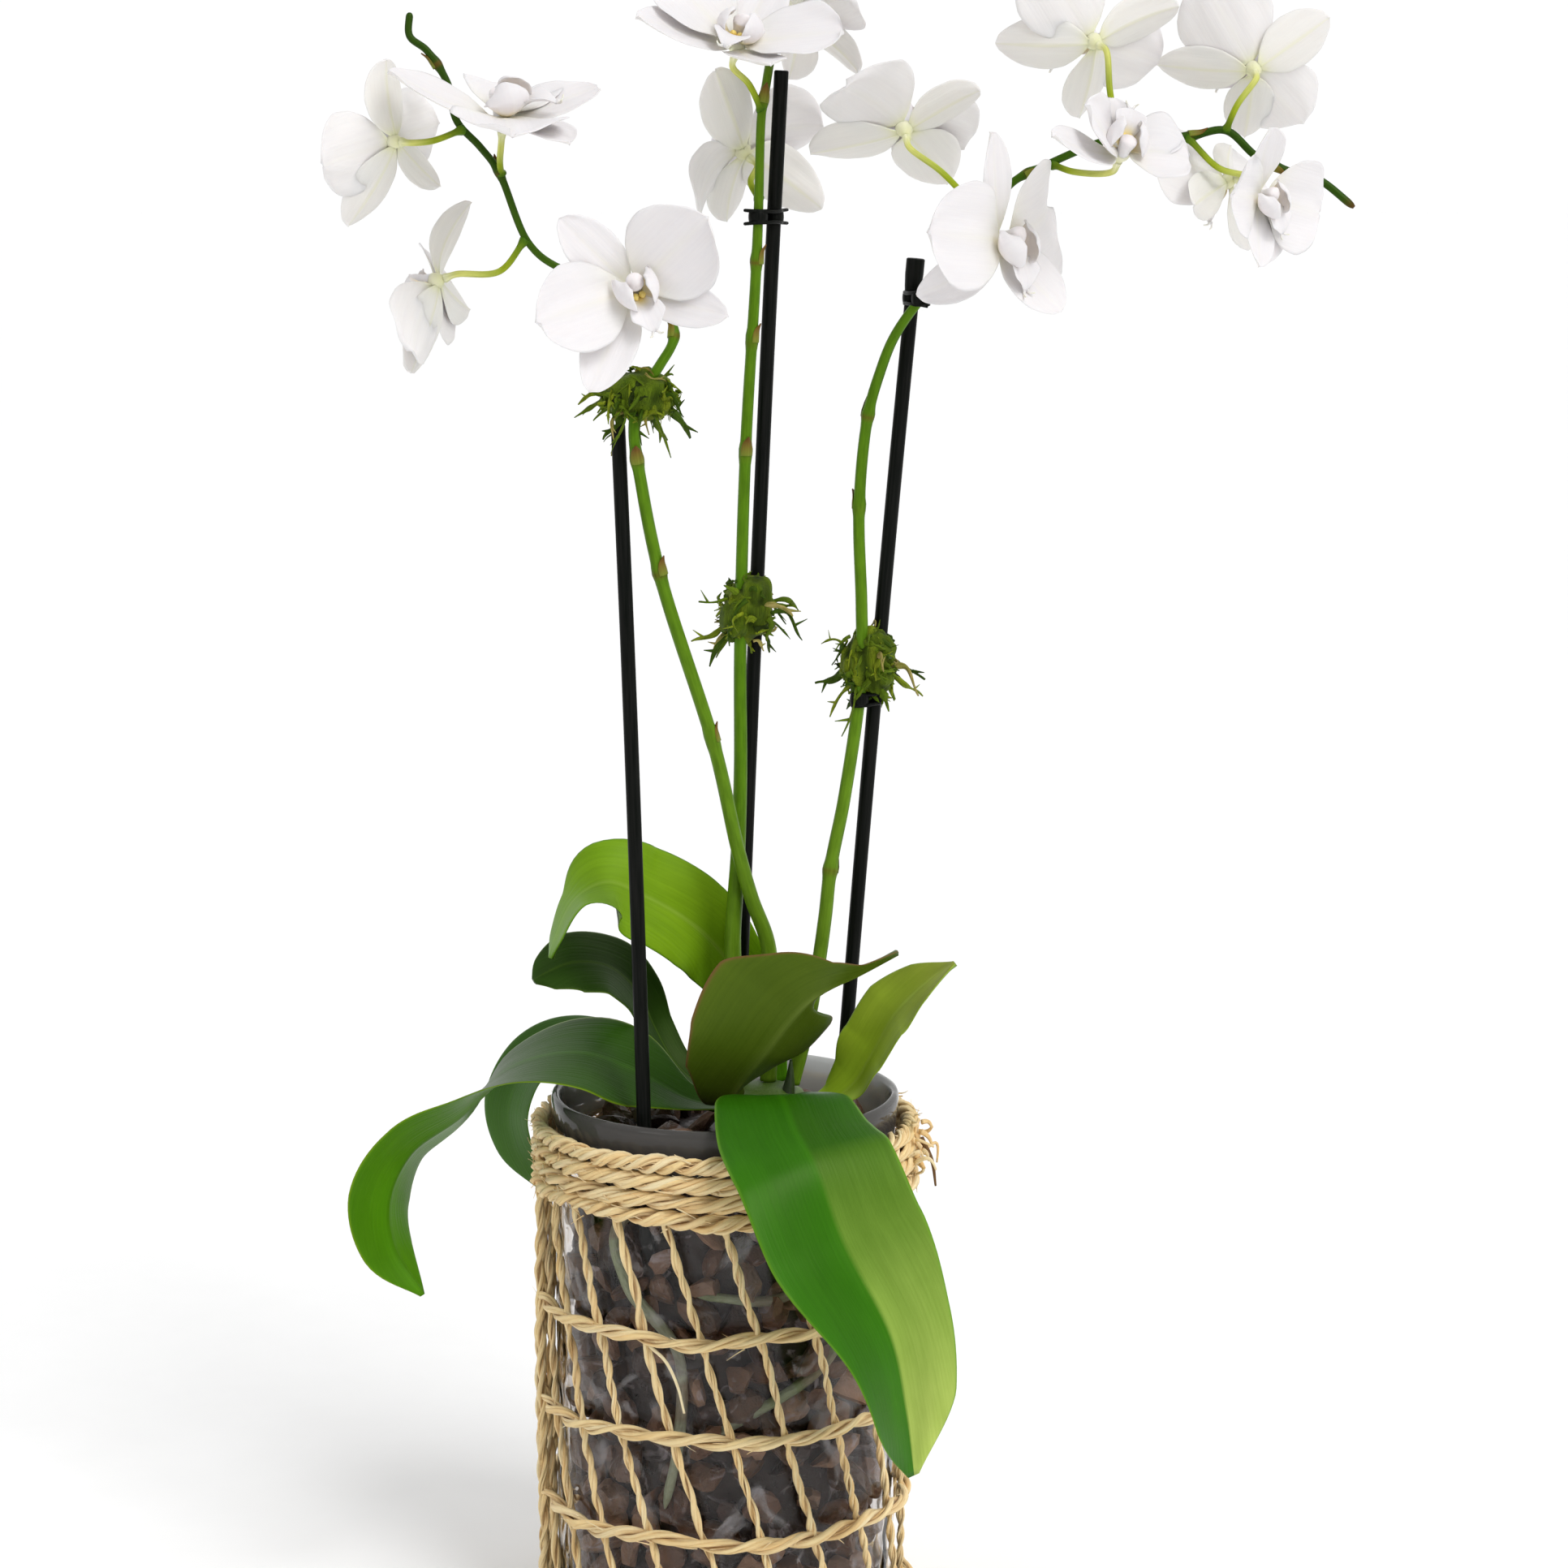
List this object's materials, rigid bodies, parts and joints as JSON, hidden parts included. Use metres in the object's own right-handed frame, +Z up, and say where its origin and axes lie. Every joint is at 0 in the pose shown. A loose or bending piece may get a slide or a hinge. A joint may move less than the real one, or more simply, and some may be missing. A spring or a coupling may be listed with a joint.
{
  "type": "moth orchid in glass vase",
  "caption": "White moth orchid with arching flower spikes tied to stakes, planted in bark in a clear glass vase that stands in a net of straw rope.",
  "frame": {"origin": "centre of the vase's flat base", "axes": "+Z up, the picture looks along +Y, +X to its right"},
  "size_m": [0.3625, 0.1862, 0.614],
  "materials": {
    "glass": "clear, slightly grey, gloss",
    "straw": "twisted straw, matt",
    "bark": "coarse bark, damp",
    "root": "silvery green, matt",
    "leaf": "waxy, satin",
    "stem": "smooth, satin",
    "petal": "soft white, matt",
    "stake": "black, satin",
    "moss": "ragged, matt"
  },
  "bodies": {
    "root": {"glass_vase": "glass", "rope_net": "straw", "crown_roots": "root", "bark_mix": "bark", "leaf_front": "leaf", "leaf_centre": "leaf", "leaf_back_high": "leaf", "leaf_left_low": "leaf", "leaf_left_high": "leaf", "leaf_back_low": "leaf", "leaf_right": "leaf", "stake_left": "stake", "stake_centre": "stake", "stake_right": "stake", "spike_left": "stem", "spike_centre": "stem", "spike_right": "stem", "bloom_left_1": "petal", "bloom_left_2": "petal", "bloom_left_3": "petal", "bloom_left_4": "petal", "bloom_centre_1": "petal", "bloom_centre_2": "petal", "bloom_centre_3": "petal", "bloom_right_1": "petal", "bloom_right_2": "petal", "bloom_right_3": "petal", "bloom_right_4": "petal", "bloom_right_5": "petal", "bloom_right_6": "petal", "bloom_right_7": "petal", "moss_left": "moss", "moss_centre": "moss", "moss_right": "moss", "clip_centre": "stake", "clip_right": "stake", "clip_low": "stake"}
  },
  "joints": []
}
